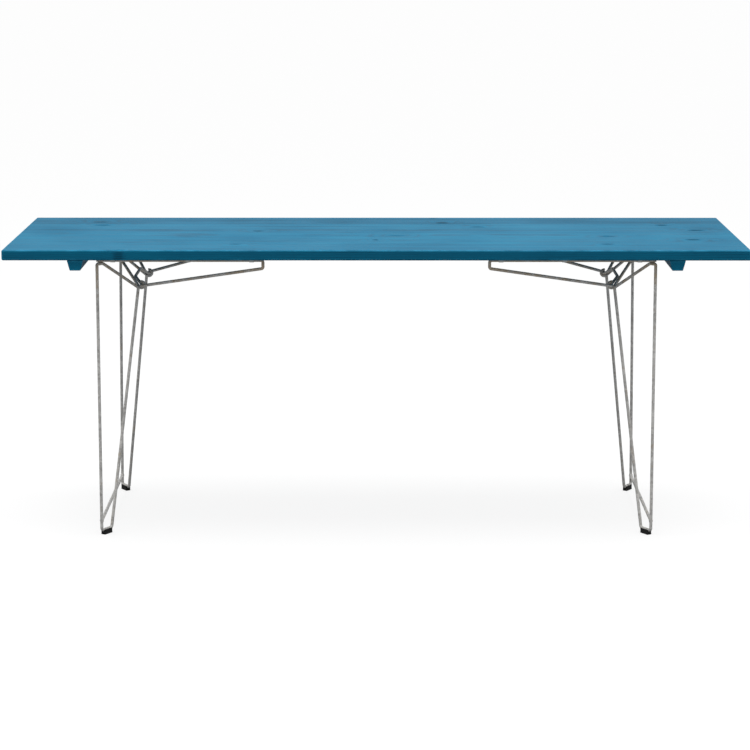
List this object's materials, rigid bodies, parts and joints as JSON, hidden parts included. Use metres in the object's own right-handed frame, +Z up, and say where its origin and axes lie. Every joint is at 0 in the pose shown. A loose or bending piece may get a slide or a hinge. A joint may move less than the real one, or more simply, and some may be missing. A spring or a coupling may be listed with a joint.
{
  "type": "folding table",
  "caption": "Long lacquered wood table top on two bent wire leg frames that fold flat beneath it on wire brackets.",
  "frame": {"origin": "on the floor, below the middle of the table top", "axes": "+X along the table's length to the right, +Y to the rear, +Z up"},
  "size_m": [1.9, 0.67, 0.76],
  "materials": {
    "board_lacquer": "satin blue lacquer over softwood, grain and knots showing faintly",
    "cleat_lacquer": "satin blue lacquer over softwood",
    "galvanised_wire": "galvanised round steel wire, dull grey with a faint spangle",
    "clip_steel": "zinc plated strap",
    "screw_steel": "bright zinc plated",
    "foot_plastic": "matt black moulded"
  },
  "bodies": {
    "board": {"table_top": "board_lacquer", "left_cleat": "cleat_lacquer", "left_bracket_wire": "galvanised_wire", "left_cleat_screw_1": "screw_steel", "left_cleat_screw_2": "screw_steel", "left_cleat_screw_3": "screw_steel", "left_cleat_screw_4": "screw_steel", "left_front_clip_1": "clip_steel", "left_front_clip_1_screw": "screw_steel", "left_front_clip_2": "clip_steel", "left_front_clip_2_screw": "screw_steel", "left_front_clip_3": "clip_steel", "left_front_clip_3_screw": "screw_steel", "left_rear_clip_1": "clip_steel", "left_rear_clip_1_screw": "screw_steel", "left_rear_clip_2": "clip_steel", "left_rear_clip_2_screw": "screw_steel", "left_rear_clip_3": "clip_steel", "left_rear_clip_3_screw": "screw_steel", "right_cleat": "cleat_lacquer", "right_bracket_wire": "galvanised_wire", "right_cleat_screw_1": "screw_steel", "right_cleat_screw_2": "screw_steel", "right_cleat_screw_3": "screw_steel", "right_cleat_screw_4": "screw_steel", "right_front_clip_1": "clip_steel", "right_front_clip_1_screw": "screw_steel", "right_front_clip_2": "clip_steel", "right_front_clip_2_screw": "screw_steel", "right_front_clip_3": "clip_steel", "right_front_clip_3_screw": "screw_steel", "right_rear_clip_1": "clip_steel", "right_rear_clip_1_screw": "screw_steel", "right_rear_clip_2": "clip_steel", "right_rear_clip_2_screw": "screw_steel", "right_rear_clip_3": "clip_steel", "right_rear_clip_3_screw": "screw_steel"},
    "left_leg": {"left_top_bar": "galvanised_wire", "left_foot_bar": "galvanised_wire", "left_brace": "galvanised_wire", "left_front_leg": "galvanised_wire", "left_rear_leg": "galvanised_wire", "left_front_foot_pad": "foot_plastic", "left_rear_foot_pad": "foot_plastic"},
    "right_leg": {"right_top_bar": "galvanised_wire", "right_foot_bar": "galvanised_wire", "right_brace": "galvanised_wire", "right_front_leg": "galvanised_wire", "right_rear_leg": "galvanised_wire", "right_front_foot_pad": "foot_plastic", "right_rear_foot_pad": "foot_plastic"}
  },
  "joints": [
    {"name": "left_leg_fold", "type": "hinge", "parent": "board", "child": "left_leg", "pos_m": [-0.618, 0, 0.6373], "axis": [0, -1, 0], "range_deg": [0, 103.5]},
    {"name": "right_leg_fold", "type": "hinge", "parent": "board", "child": "right_leg", "pos_m": [0.618, 0, 0.6373], "axis": [0, 1, 0], "range_deg": [0, 98.2]}
  ]
}
